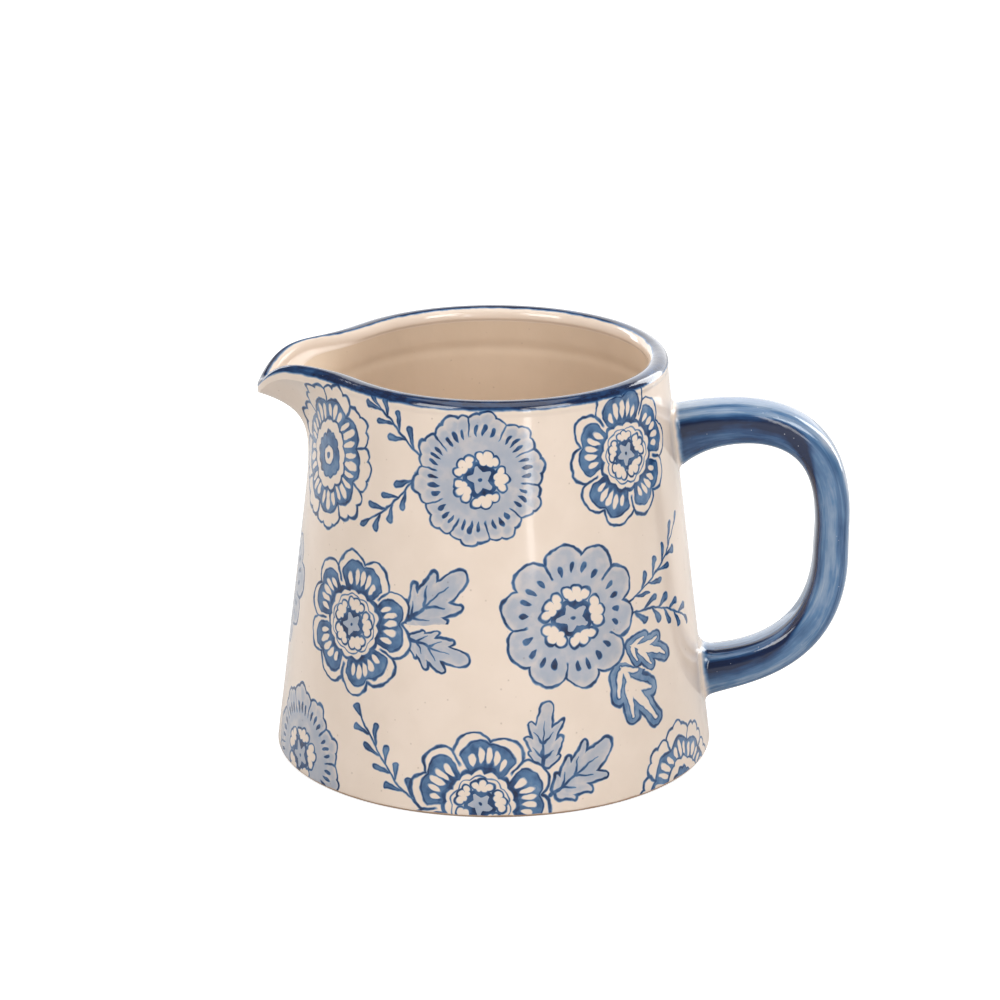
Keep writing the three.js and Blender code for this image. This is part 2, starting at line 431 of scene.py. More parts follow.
@node_group(
    "glaze_skin", {"Point": None, "Roughness": 0.1}, {"Roughness": "Float", "Height": "Float"}
)
def glaze_skin(point, roughness):
    slow, _ = noise(point, 0.07, 1.0)
    peel, _ = noise(point, 0.45, 2.0)
    smear, _ = noise(point, 0.2, 3.0)
    gap, (_, chosen, _) = cells(point, 0.33)
    pit = step(gap, 0.09, 0.02) * step(chosen, 0.8, 0.85)
    return roughness * (0.75 + 0.5 * smear), slow + peel * PEEL_SHARE - pit * PIT_SHARE


# %% Node group: cobalt
# Ink 0 is bare, 0.12 a watery wash, 0.5 a ground, 0.85 a drawn line and 1.2 the deepest blue.
COBALT_FULL = 1.2
COBALT_STEPS = [
    (0.0, (1.0, 1.0, 1.0)),
    (0.12, (0.53, 0.65, 0.86)),
    (0.3, (0.28, 0.46, 0.76)),
    (0.5, (0.105, 0.265, 0.58)),
    (0.85, (0.018, 0.088, 0.29)),
    (1.2, (0.004, 0.018, 0.09)),
]


@node_group("cobalt", {"Bare": (0.8, 0.7, 0.6, 1), "Ink": 0.0}, {"Colour": "Color"})
def cobalt(bare, ink):
    ramp = new_node("ShaderNodeValToRGB", (ink / COBALT_FULL,))
    stops = ramp.color_ramp.elements
    while len(stops) < len(COBALT_STEPS):
        stops.new(0.5)
    for stop, (amount, let_through) in zip(stops, COBALT_STEPS):
        stop.position = amount / COBALT_FULL
        stop.color = (*let_through, 1)
    return mix(bare, out(ramp), 1.0, "RGBA", "MULTIPLY")


# %% Node group: brush streaks
# Grain is a point in millimetres whose X runs along the brush stroke. Each row is one size of
# streak: hairs, bands and pools.
STREAKS = [
    # squeeze along the stroke, scale, detail, roughness, strength
    (0.07, 1.1, 3.0, 0.6, 1.5),
    (0.08, 0.25, 1.0, 0.5, 1.6),
    (0.5, 0.35, 3.0, 0.5, 0.8),
]


@node_group("brush_streaks", {"Grain": None, "Depth": 0.9, "Contrast": 0.35}, {"Ink": "Float"})
def brush_streaks(grain, depth, contrast):
    uneven = 0.0
    for squeeze, scale, detail, roughness, strength in STREAKS:
        drawn_out = vector("MULTIPLY", grain, (squeeze, 1.0, 1.0))
        streak, _ = noise(drawn_out, scale, detail, roughness)
        uneven = uneven + (streak - 0.5) * strength
    return depth + uneven * contrast


# %% Node groups: brushed edge and pinholes
EDGE_WANDER = 0.7  # mm


@node_group("brushed_edge", {"Point": None, "Painted": 0.0}, {"Edge": "Float"})
def brushed_edge(point, painted):
    ragged, _ = noise(point, 0.35, 2.0)
    return painted + (ragged - 0.5) * EDGE_WANDER


@node_group("pinholes", {"Point": None}, {"Mask": "Float"})
def pinholes(point):
    gap, (_, _, chosen) = cells(point, 1.1)
    return step(gap, 0.17, 0.06) * step(chosen, 0.9, 1.0)


# %% [markdown]
# ## The painted flowers
# A brush line is the set of points near a curve, so each motif is drawn by distance. A flower is
# folded along its petals like a paper snowflake, and then one petal's few arcs draw them all.
# Leaves and buds are tapered strokes. Slow noise bends the whole drawing a little and changes the
# width of the line, which is what makes it look painted and not printed.

# %% Drawing tools
PI = math.pi
SOFT = 0.18  # half the blurred edge of a line, mm
WASH = 0.125
GROUND = 0.6
LINE = 0.9


def line(gap, half_width):
    """Ink of a line where gap is the distance from its middle."""
    return step(calc("ABSOLUTE", gap), half_width + SOFT, half_width - SOFT)


def inside(gap, edge=0.0):
    return step(gap, edge + SOFT, edge - SOFT)


def circle(point, x, y, radius):
    return vector("DISTANCE", point, (x, y, 0.0)) - radius


def stroke(point, start, end, start_radius, end_radius):
    """Distance from a tapered stroke with round ends."""
    run = np.subtract(end, start)
    relative = vector("SUBTRACT", point, (*start, 0.0))
    share = vector("DOT_PRODUCT", relative, (*(run / run.dot(run)), 0.0))
    share = calc("MINIMUM", calc("MAXIMUM", share, 0.0), 1.0)
    along = vector("MULTIPLY", combine(share, share), (*run, 0.0))
    radius = calc("MULTIPLY_ADD", share, end_radius - start_radius, start_radius)
    return vector("DISTANCE", relative, along) - radius


def dash(radius, turn, middle, off, half_length, half_width):
    """Distance-like value of a dash that points at the flower's centre, below 0 inside it."""
    far = (radius - middle) / half_length
    side = radius * (turn - off) / half_width
    return vector("LENGTH", combine(far, side / (1.0 + far * 0.35))) - 1.0


def circles(point, rows):
    return lowest(*(circle(point, *row) for row in rows))


def strokes(point, rows):
    return lowest(*(stroke(point, *row) for row in rows))


def dashes(radius, turn, rows):
    return lowest(*(dash(radius, turn, *row) for row in rows))


def scallop(turn, waves, height):
    """A ring's edge of small arches, two to a wave."""
    return calc("ABSOLUTE", calc("SINE", turn * waves)) * height


def fold(turn, petals):
    """The angle from the nearest petal's middle, the same on both its sides."""
    half = PI / petals
    return calc("ABSOLUTE", calc("WRAP", turn, half, -half))


def unfold(radius, turn):
    return combine(radius * calc("COSINE", turn), radius * calc("SINE", turn))


def from_cleft(radius, folded, petals):
    """Distance from the line between two petals."""
    return radius * calc("SINE", PI / petals - folded)


def nearest(place, arc, spots):
    """The point relative to the nearest spot, in mm, turned upright, and that spot's facts."""
    best = None
    for angle, height, *facts in spots:
        offset = vector("SUBTRACT", place, (math.radians(angle), height, 0.0))
        offset = vector("WRAP", offset, (PI, 500.0, 500.0), (-PI, -500.0, -500.0))
        offset = vector("MULTIPLY", offset, arc)
        gap = vector("LENGTH", offset)
        facts = (math.radians(facts[0]), *facts[1:])
        if best is None:
            best = [gap, offset, facts]
            continue
        closer = calc("LESS_THAN", gap, best[0])
        best[0] = calc("MINIMUM", gap, best[0])
        best[1] = mix(best[1], offset, closer, "VECTOR")
        best[2] = mix(best[2], facts, closer, "VECTOR")
    turn, size, kind = split(best[2])
    turned = new_node(
        "ShaderNodeVectorRotate", (best[1], -1.0 * turn), ("Vector", "Angle"),
        rotation_type="Z_AXIS",
    )
    return out(turned), size, kind


# %% [markdown]
# ## Flowers
# Four kinds share the pot. The aster has ten petals with ragged ends over a grey wash. The plain
# rose and the banded rose both have five heart-shaped petals; the first is washed and dashed, and
# the second has a cream band and white drops on a blue ground. The daisy has nine cream petals
# round fans of white spikes. All but the daisy share a centre: five small cream petals round a
# star.
#
# A circle is given by how far out and how far aside its middle lies, and its radius. A dash is
# given by how far out it lies, its turn off the petal's middle, half its length and half its width.

# %% Flower sizes, in mm and radians
ASTER, ROSE, BANDED_ROSE, DAISY = 0, 1, 2, 3
CORE_CIRCLES = [(5.35, 0, 1.25), (4.75, 1.75, 1.2), (4.1, 0.75, 1.15)]
STAR_ARM = ((0.9, 0.0), (2.55, 0.0), 1.15, 0.4)
ASTER_CIRCLES = [(13.2, 0.0, 2.15), (12.0, 2.15, 2.25)]
ASTER_TICKS = [(10.9, 0.0, 1.25, 0.46), (10.7, 0.155, 1.15, 0.42)]
ASTER_RADIUS = 11.6
ASTER_TURN = 0.38
HEART_CIRCLE = (10.8, 3.3, 4.2)
HEART_RADIUS = 10.9
ROSE_DROPS = [(10.7, 0.125, 1.15, 0.56), (10.3, 0.375, 1.1, 0.56)]
BAND_CIRCLE = (9.6, 2.1, 3.75)
BAND_SPOTS = [(10.5, 0.0, 2.05, 0.83), (10.4, 0.17, 2.0, 0.8), (9.8, 0.35, 1.6, 0.72)]
BAND_RING = 7.3
FRILL_CIRCLES = [(13.55, 0.0, 2.1), (12.5, 2.6, 2.1)]
FRILL_RADIUS = 12.2
FAN_CIRCLE = (7.8, 0.0, 4.25)
FAN_SPIKES = [(9.2, 0.0, 2.5, 0.92), (8.8, 0.215, 2.1, 0.66)]
FAN_RING = 6.8
EYE_RING = 4.3
EYE_RADIUS = 2.4

# %% Flower group


def shared_centre(core, five, half_line):
    """Ink of the small petals and the star, and where those petals lie."""
    small_petals = circles(unfold(core, five), CORE_CIRCLES)
    star = stroke(unfold(core, PI / 5 - five), *STAR_ARM)
    around_star = inside(core, 4.0) * step(star, -0.1, 0.15) * step(small_petals, -0.1, 0.15)
    ink = highest(
        line(small_petals, half_line * 0.8) * LINE,
        around_star * LINE,
        inside(star) * WASH * 1.2,
        inside(core, 0.42) * LINE,
    )
    return ink, inside(small_petals)


def washed(outline, fading, cream):
    """A wash inside an outline, paler near its edge and none on the cream petals."""
    return inside(outline) * WASH * (1 - fading * step(outline, -1.7, -0.3)) * (1 - cream)


def draw_aster(radius, turn, half_line, cream):
    ten = fold(turn + ASTER_TURN, 10)
    rays = lowest(circles(unfold(radius, ten), ASTER_CIRCLES), radius - ASTER_RADIUS)
    parting = line(from_cleft(radius, ten, 10), half_line * 0.8)
    ink = highest(
        line(rays, half_line) * LINE,
        parting * step(radius, 9.0, 10.4) * inside(rays) * LINE,
        step(dashes(radius, ten, ASTER_TICKS), 0.25, -0.25) * LINE,
        washed(rays, 0.5, cream),
    )
    return ink, inside(rays)


def draw_roses(radius, turn, core, five, half_line, cream):
    """Ink of the plain rose, ink of the banded rose and the outline that they share."""
    heart = unfold(radius, five)
    hearts = lowest(circle(heart, *HEART_CIRCLE), radius - HEART_RADIUS)
    cleft = from_cleft(radius, five, 5)
    outline = line(hearts, half_line) * LINE
    cleft_line = line(cleft, half_line * 1.1) * step(radius, 9.0, 10.0) * inside(hearts) * LINE
    drops = step(dashes(radius, five, ROSE_DROPS), 0.25, -0.25) * LINE
    plain = highest(outline, cleft_line, drops, washed(hearts, 0.4, cream))

    edge = scallop(turn, 7.5, 0.55)
    field = highest(circle(heart, *BAND_CIRCLE), 1.05 - cleft)
    beyond_ring = step(radius - edge, BAND_RING - 0.1, BAND_RING + 0.2)
    spots = dashes(radius, five, BAND_SPOTS)
    banded = highest(
        outline,
        cleft_line,
        line(field, half_line * 0.9) * beyond_ring * LINE,
        inside(field) * beyond_ring * (GROUND + 0.16 * step(radius, 12.0, 9.0)),
        line(radius - edge - BAND_RING, half_line * 1.7) * LINE,
        line(core - scallop(turn + 0.1, 5.0, 0.6) - 6.75, half_line * 0.55) * LINE * 0.8,
    )
    banded = banded * (1 - step(spots, 0.1, -0.12) * beyond_ring)
    spot_lines = line(spots, 0.1) * inside(field, 0.3) * beyond_ring * LINE * 0.9
    return plain, highest(banded, spot_lines), inside(hearts)


def draw_daisy(radius, turn, half_line):
    nine = fold(turn, 9)
    petal = unfold(radius, nine)
    frill = lowest(circles(petal, FRILL_CIRCLES), radius - FRILL_RADIUS)
    fans = circle(petal, *FAN_CIRCLE)
    parting = line(from_cleft(radius, nine, 9), half_line)
    spikes = dashes(radius, nine, FAN_SPIKES)
    edge = scallop(turn, 6.5, 0.6)
    fan_ground = inside(fans) * step(radius - edge, FAN_RING - 0.3, FAN_RING)
    eye_edge = radius - edge * 0.8
    ink = highest(
        line(frill, half_line) * LINE,
        line(fans, half_line) * step(radius, 6.9, 7.3) * LINE,
        parting * step(radius, 10.4, 10.8) * inside(frill) * LINE,
        fan_ground * GROUND * (1 - step(spikes, 0.05, -0.12)),
        line(spikes, 0.07) * fan_ground * LINE,
        line(radius - edge - FAN_RING, half_line) * LINE,
        line(eye_edge - EYE_RING, half_line) * LINE,
        inside(eye_edge, EYE_RING) * step(radius, 2.3, 2.6) * GROUND,
        line(radius - EYE_RADIUS, half_line * 0.8) * LINE,
        inside(radius, 0.8) * 0.7,
    )
    return ink, inside(frill)


@node_group(
    "flower", {"Point": None, "Kind": 0.0, "Half Line": 0.25}, {"Ink": "Float", "Cover": "Float"}
)
def flower(point, kind, half_line):
    x, y, _ = split(point)
    radius, turn = vector("LENGTH", combine(x, y)), calc("ARCTAN2", y, x)
    is_aster, is_rose, is_banded, is_daisy = (
        calc("COMPARE", kind, float(which), 0.4) for which in (ASTER, ROSE, BANDED_ROSE, DAISY)
    )
    # The shared centre is larger in the plain rose and smaller in the banded one
    core = radius * (1.0 - 0.1 * is_rose + 0.16 * is_banded)
    five = fold(turn, 5)
    centre, cream = shared_centre(core, five, half_line)
    aster, aster_cover = draw_aster(radius, turn, half_line, cream)
    rose, banded, rose_cover = draw_roses(radius, turn, core, five, half_line, cream)
    daisy, daisy_cover = draw_daisy(radius, turn, half_line)
    ink = aster * is_aster + rose * is_rose + banded * is_banded
    ink = highest(ink, centre * (1 - is_daisy)) + daisy * is_daisy
    cover = aster_cover * is_aster + rose_cover * (is_rose + is_banded) + daisy_cover * is_daisy
    return ink, cover


# %% [markdown]
# ## Leaves and sprigs
# A leaf is four pairs of tapered lobes on a midrib. The same outline serves twice: filled with a
# wash and veined, or left cream inside a blue band. A sprig is a thin bent stem with buds set on
# alternate sides, which a repeating cell along the stem gives for the price of one bud.

# %% Leaf group
# A stroke is given by its start, its end and its radius at each, on one half of the leaf. The
# leaf's two sides are not quite the same, so its lobes stand a little to one side.
WASHED, BORDERED = 0, 1
LEAF_LENGTH = 17.0
LOBE_SHIFT = 0.35
BLADE = [((1.2, 0.0), (6.5, 0.0), 0.7, 3.0), ((6.5, 0.0), (14.6, 0.0), 3.0, 1.9)]
BLADE_LOBES = [
    ((7.4, 1.4), (11.2, 3.9), 2.0, 0.7),
    ((4.0, 1.2), (7.0, 4.3), 1.9, 0.7),
    ((1.8, 0.8), (3.3, 3.2), 1.3, 0.6),
]
VEINS = [
    ((0.0, 0.0), (12.0, 0.0), 0.45, 0.02),
    ((2.8, 0.2), (4.8, 2.4), 0.3, 0.02),
    ((6.2, 0.2), (8.9, 2.6), 0.3, 0.02),
]
CREAM_BLADE = [((2.0, 0.0), (8.0, 0.0), 0.25, 1.25), ((8.0, 0.0), (15.2, 0.0), 1.25, 0.55)]
CREAM_LOBES = [((6.2, 0.4), (10.6, 3.3), 1.1, 0.45), ((3.0, 0.3), (5.9, 3.0), 0.8, 0.4)]
BORDER = 1.15
BORDER_INK = 0.42


@node_group("leaf", {"Point": None, "Kind": 0.0, "Half Line": 0.25}, {"Ink": "Float"})
def leaf(point, kind, half_line):
    x, y, _ = split(point)
    half = combine(x, calc("ABSOLUTE", y))
    lobed = combine(x, calc("ABSOLUTE", y + LOBE_SHIFT))
    edge = lowest(strokes(half, BLADE), strokes(lobed, BLADE_LOBES))
    cream = lowest(strokes(half, CREAM_BLADE), strokes(lobed, CREAM_LOBES))
    filled = highest(
        inside(edge) * WASH * (1 - 0.35 * step(edge, -1.2, -0.2)),
        line(edge, half_line) * LINE,
        inside(strokes(half, VEINS), 0.05) * LINE * 0.92,
    )
    bordered = highest(
        step(cream, -0.1, 0.1) * inside(cream, BORDER) * BORDER_INK,
        line(cream, half_line * 0.5) * LINE,
        line(cream - BORDER, half_line) * LINE,
    )
    return mix(filled, bordered, kind)


# %% Sprig group
BUD_STEP = 4.6
BUD = ((0.3, 0.1), (3.3, 2.35), 0.16, 0.78)
END_BUD = ((-2.6, 0.0), (0.0, 0.0), 0.2, 0.78)
NO_BUD = 99.0  # a distance that draws nothing


@node_group("sprig", {"Point": None, "Length": 20.0, "Bend": 0.0}, {"Ink": "Float"})
def sprig(point, length, bend):
    x, y, _ = split(point)
    share = x / length
    y = y - bend * (share - share * share) * 4.0
    other_side = calc("LESS_THAN", y, 0.0)
    shifted = x + other_side * (BUD_STEP / 2) + 0.5
    cell = calc("WRAP", shifted, BUD_STEP, 0.0)
    bud = stroke(combine(cell, calc("ABSOLUTE", y)), *BUD)
    start = shifted - cell
    on_stem = step(start, -0.2, 0.4) * step(start, length - 2.6, length - 3.0)
    stem = line(y, 0.2) * step(x, -0.6, 0.2) * step(x, length - 1.0, length - 2.0)
    buds = lowest(mix(NO_BUD, bud, on_stem), stroke(combine(x - length, y), *END_BUD))
    return highest(stem * LINE, inside(buds) * LINE - inside(buds, -0.3) * 0.3)


# %% [markdown]
# ## Where the motifs sit
# Angles are in degrees round the pot, 180 at the beak, 0 at the handle and -90 on the side that
# faces the camera. Heights are in millimetres. Flowers are spaced as a painter spaces them, a hand
# apart and cut off by rim and foot, and the leaves and sprigs fill the gaps beside them.

# %% Places
FLOWERS = [
    # angle, height, turn, size, kind
    (-94.5, 73.8, -4, 0.94, ASTER),
    (-152.5, 4.5, 10, 0.98, ASTER),
    (30, 8, 25, 1.0, ASTER),
    (94, 44, 40, 1.0, ASTER),
    (-67, 42.8, 8, 1.03, ROSE),
    (178, 38, 30, 0.98, ROSE),
    (60, 76, -20, 1.0, ROSE),
    (112, 4, 15, 0.98, ROSE),
    (-134, 38.6, 8, 1.0, BANDED_ROSE),
    (-44, 75.3, 20, 0.97, BANDED_ROSE),
    (-93.5, 3.0, 9, 1.02, BANDED_ROSE),
    (46, 41, 50, 1.0, BANDED_ROSE),
    (128, 77, 5, 0.97, BANDED_ROSE),
    (-153.5, 72.2, 0, 1.02, DAISY),
    (-31, -2.5, 12, 0.98, DAISY),
    (140, 36, 30, 1.0, DAISY),
    (73, 6, 8, 1.0, DAISY),
]
LEAVES = [
    (-116.5, 41.0, 42, 18.8, WASHED),
    (-115.0, 38.2, -16, 15.0, WASHED),
    (-77.5, 10.6, 84, 15.2, WASHED),
    (-75.0, 4.6, 33, 18.2, WASHED),
    (-51.0, 34.6, -21, 15.8, BORDERED),
    (-54.5, 31.6, -54, 20.5, BORDERED),
    (110, 52, 35, 15.0, WASHED),
    (112, 40, -30, 16.0, WASHED),
    (160, 12, 70, 18.0, WASHED),
    (63, 33, -35, 14.0, BORDERED),
    (152, 58, 60, 15.0, BORDERED),
    (12, 24, 75, 18.0, WASHED),
]
SPRIGS = [
    # angle, height, turn, length, bend
    (-113.5, 77.6, 138, 17.0, 0.6),
    (-113.0, 73.5, 222, 19.5, 0.8),
    (-47.5, 43.5, 33, 25.0, -1.6),
    (-48.0, 40.8, -20, 24.0, 2.4),
    (-110.5, 1.5, 129, 25.0, 1.2),
    (80, 72, 20, 20.0, 1.0),
    (78, 62, -40, 16.0, 0.8),
    (30, 56, 100, 20.0, 1.0),
    (168, 64, -80, 20.0, 0.6),
    (90, 22, 160, 18.0, 0.6),
    (135, 14, 60, 16.0, 0.6),
]


def mid_spots(rows):
    """Rows given by their base, moved half of the way to the tip; turns stay."""
    moved = []
    for angle, height, turn, length, kind in rows:
        reach = length / 2
        arc_radius = cone_radius(height)
        side = math.degrees(reach * math.cos(math.radians(turn)) / arc_radius)
        up = reach * math.sin(math.radians(turn))
        moved.append((angle + side, height + up, turn, length, kind))
    return moved


# %% Painting group
SLOW_BEND = 2.6  # mm that the drawing wanders over centimetres
FINE_BEND = 0.95  # and over millimetres
FULLEST = 0.95


@node_group("painting", {"Point": None, "Half Line": 0.26}, {"Ink": "Float"})
def painting(point, half_line):
    _, slow = noise(point, 0.105, 1.0)
    _, fine = noise(point, 0.45, 1.0)
    watery, _ = noise(point, 0.4, 3.0)
    pressure, _ = noise(point, 0.28, 1.0)
    load, _ = noise(point, 0.3, 3.0)
    x, y, z = split(point)
    arc_radius = vector("LENGTH", combine(x, y))
    slow_side, slow_up, _ = split(slow)
    fine_side, fine_up, _ = split(fine)
    side = (slow_side - 0.5) * SLOW_BEND + (fine_side - 0.5) * FINE_BEND
    up = (slow_up - 0.5) * SLOW_BEND + (fine_up - 0.5) * FINE_BEND
    place = combine(calc("ARCTAN2", y, x) + side / arc_radius, z + up)
    arc = combine(arc_radius, 1.0, 1.0)
    half_line = half_line * (0.1 + 1.8 * pressure)

    spot, length, bend = nearest(place, arc, mid_spots(SPRIGS))
    sprig_point = vector("ADD", spot, combine(length * 0.5, 0.0))
    sprig_ink = use_group(sprig, Point=sprig_point, Length=length, Bend=bend)

    spot, length, kind = nearest(place, arc, mid_spots(LEAVES))
    size = length / LEAF_LENGTH
    leaf_point = vector("DIVIDE", spot, combine(size, size, 1.0))
    leaf_point = vector("ADD", leaf_point, (LEAF_LENGTH / 2, 0.0, 0.0))
    leaf_ink = use_group(leaf, Point=leaf_point, Kind=kind, Half_Line=half_line)

    spot, size, kind = nearest(place, arc, FLOWERS)
    flower_point = vector("DIVIDE", spot, combine(size, size, 1.0))
    drawn, cover = use_group(flower, Point=flower_point, Kind=kind, Half_Line=half_line)
    ink = highest(sprig_ink, leaf_ink) * (1 - cover) + drawn
    ink = lowest(ink, FULLEST) * (0.62 + 0.76 * watery)
    return ink * (0.8 + 0.45 * step(load, 0.35, 0.68))


# %% [markdown]
# ## Finishes
# All are fired clay. Glazed surfaces have a low roughness and a clear coat; the glaze's unevenness
# goes in as a faint bump, and the colour comes up through it from the pigment and the clay.

# %% Finish helpers
CREAM = (0.80, 0.665, 0.555, 1)
# The inside has the same cream glaze as the outside; this darker, warmer tan is painted shade for
# the inside of the pot and its floor.
SHADED_INNER_CREAM = (0.74, 0.59, 0.45, 1)
BARE_CLAY = (0.50, 0.33, 0.22, 1)
BROKEN_BUBBLE = (0.62, 0.66, 0.74, 1)
GLAZE_ROUGHNESS = 0.12
CLAY_ROUGHNESS = 0.85
THIN_COAT = 0.15
THICK_COAT = 0.45


def new_finish(name, coat=THIN_COAT):
    """A glossy finish, its shader, and the point in millimetres from the pot's axis."""
    finish = bpy.data.materials.new(name)
    finish.use_nodes = True
    shader = finish.node_tree.nodes["Principled BSDF"]
    shader.inputs["Roughness"].default_value = GLAZE_ROUGHNESS
    shader.inputs["IOR"].default_value = 1.5
    shader.inputs["Coat Weight"].default_value = coat
    shader.inputs["Coat Roughness"].default_value = 0.05
    where = out(finish.node_tree.nodes.new("ShaderNodeTexCoord"), "Object")
    point = vector("SUBTRACT", vector("MULTIPLY", where, (1 / MM,) * 3), (AXIS_X, 0.0, 0.0))
    return finish, shader, point


def give_bump(shader, height, distance):
    bump = new_node(
        "ShaderNodeBump", (1.0, distance, height), ("Strength", "Distance", "Height")
    )
    wire(out(bump), shader.inputs["Normal"])


def glaze(shader, point, distance):
    """Gives a shader the uneven skin of glaze, as deep as distance, in metres."""
    roughness, height = use_group(glaze_skin, Point=point, Roughness=GLAZE_ROUGHNESS)
    wire(roughness, shader.inputs["Roughness"])
    give_bump(shader, height, distance)


def note(shader, name, kind="Fac"):
    """What a piece has noted at each of its points."""
    node = shader.id_data.nodes.new("ShaderNodeAttribute")
    node.attribute_name = name
    return out(node, kind)


# %% Painted glaze and inner glaze


def painted_clay(point):
    body = use_group(clay, Point=point, Colour=CREAM, Specks=0.5)
    return use_group(cobalt, Bare=body, Ink=use_group(painting, Point=point))


def painted_glaze():
    finish, shader, point = new_finish("painted_glaze")
    wire(painted_clay(point), shader.inputs["Base Color"])
    glaze(shader, point, 0.00016)
    return finish


def inner_glaze():
    finish, shader, point = new_finish("inner_glaze")
    # The darker tan here is painted shade inside the pot, not a different glaze.
    body = use_group(clay, Point=point, Colour=SHADED_INNER_CREAM, Specks=0.35)
    wire(body, shader.inputs["Base Color"])
    glaze(shader, point, 0.0002)
    return finish


# %% Cobalt glaze, brushed on the rim and the handle
# On the strap, run is the length from its top end, and turn goes from 0 on the side towards the
# pot, over the flat side, to pi on the outer crown.
THINNEST = 0.12
SIDE_BAND_DEPTH = 0.75
EDGE_LINE_DEPTH = 0.6
# Paler on the outer crown: partly thinner glaze, partly a painted sheen of the light on it.
CROWN_THINNING_AND_SHEEN = 0.22
GRIP_THINNING = 0.24


def strap_ink(grain, streaks):
    """The streaks, deeper in a band along the side that crosses to the inner corner at the grip
    and comes back lower down, and along the inner edge. They are thinner down the grip's side,
    and paler on the outer crown, partly where the glaze ran off and partly as painted sheen."""
    run, inward, side = split(grain)
    turn = calc("ARCTAN2", calc("ABSOLUTE", side), inward)
    middle = 1.72 - 1.15 * step(run, 22.0, 44.0) + 0.7 * step(run, 66.0, 88.0)
    band = step(calc("ABSOLUTE", turn - middle), 0.42, 0.04)
    edge = step(calc("ABSOLUTE", turn - 0.4), 0.22, 0.04)
    deepened = highest(band * SIDE_BAND_DEPTH, edge * EDGE_LINE_DEPTH)
    # The outer crown, made paler: partly thin glaze, partly painted sheen.
    crown = step(turn, 1.95, 2.5)
    grip = step(run, 30.0, 42.0) * step(run, 74.0, 62.0)
    stripe = step(calc("ABSOLUTE", turn - 1.35), 0.4, 0.05) * grip
    stays = (1.0 - CROWN_THINNING_AND_SHEEN * crown) * (1.0 - GRIP_THINNING * stripe)
    return (streaks + deepened) * stays


def cobalt_glaze(name, depth, contrast, fade, flowers=False, strap=False):
    """Brushed cobalt. Fade is the width of its soft edge, in mm."""
    finish, shader, point = new_finish(name, THICK_COAT)
    body = use_group(clay, Point=point, Colour=CREAM, Specks=0.0)
    grain = note(shader, "grain", "Vector")
    ink = use_group(brush_streaks, Grain=grain, Depth=depth, Contrast=contrast)
    if strap:
        ink = strap_ink(grain, ink)
    edge = use_group(brushed_edge, Point=point, Painted=note(shader, "painted"))
    ink = highest(ink, THINNEST) * step(edge, -fade, fade)
    if flowers:
        ink = highest(ink, use_group(painting, Point=point) * note(shader, "outside"))
    colour = use_group(cobalt, Bare=body, Ink=lowest(ink, COBALT_FULL))
    pin = use_group(pinholes, Point=point) * 0.8 * step(edge, 0.0, fade)
    wire(mix(colour, BROKEN_BUBBLE, pin, "RGBA"), shader.inputs["Base Color"])
    glaze(shader, point, 0.0003)
    return finish


# %% Bare clay, for the foot
GLAZE_LINE = (0.5, 0.75)  # heights between which the glaze begins, mm


def bare_foot():
    finish, shader, point = new_finish("bare_foot")
    bare = use_group(clay, Point=point, Colour=BARE_CLAY, Specks=0.8)
    x, y, z = split(point)
    ragged, _ = noise(point, 0.25, 2.0)
    above = step(z + (ragged - 0.5) * 0.5, *GLAZE_LINE)
    outside = step(vector("LENGTH", combine(x, y)), cone_radius(0) - 3.0, cone_radius(0) - 2.0)
    glazed = above * outside
    wire(mix(bare, painted_clay(point), glazed, "RGBA"), shader.inputs["Base Color"])
    wire(mix(CLAY_ROUGHNESS, GLAZE_ROUGHNESS, glazed), shader.inputs["Roughness"])
    wire(glazed * THIN_COAT, shader.inputs["Coat Weight"])
    grit, _ = noise(point, 2.5, 4.0, 0.7)
    give_bump(shader, grit * (1 - glazed), 0.0003)
    return finish


paint_finish = painted_glaze()
inner_finish = inner_glaze()
rim_finish = cobalt_glaze("rim_cobalt", 1.15, 0.5, 0.4, flowers=True)
handle_finish = cobalt_glaze("handle_cobalt", 0.62, 0.6, 0.8, strap=True)
foot_finish = bare_foot()
finishes = (paint_finish, inner_finish, rim_finish, handle_finish, foot_finish)
print("finishes:", [finish.name for finish in finishes])

# %% [markdown]
# ## Wall and beak
# Both come from one grid of angles and depths, finer round the beak. The wall leaves out the
# wedge of grid that the beak takes, and each closes its own edges through the clay's thickness.

# %% The grid
beak_angles = PI + np.linspace(-BEAK_HALF_ANGLE, BEAK_HALF_ANGLE, 97)
rest_angles = np.linspace(beak_angles[-1], beak_angles[0] + 2 * PI, 232)[1:-1]
ANGLES = np.concatenate([beak_angles, rest_angles])
BEAK_COLUMNS = len(beak_angles) - 1
upper_rows = LIP_HEIGHT + (BEAK_DEPTH - LIP_HEIGHT) * np.linspace(0, 1, 41) ** 1.25
lower_rows = np.linspace(BEAK_DEPTH, HEIGHT - FOOT_TOP, 44)[1:]
DEPTHS = np.concatenate([upper_rows, lower_rows])
BEAK_ROWS = len(upper_rows) - 1

grid_angle, grid_depth = np.meshgrid(ANGLES, DEPTHS, indexing="ij")
grid_z = skin_height(grid_angle, grid_depth)
outer_skin = on_pot(grid_angle, outer_radius(grid_angle, grid_depth), grid_z)
inner_skin = on_pot(grid_angle, inner_radius(grid_angle, grid_depth), grid_z)
print("grid:", grid_angle.shape)


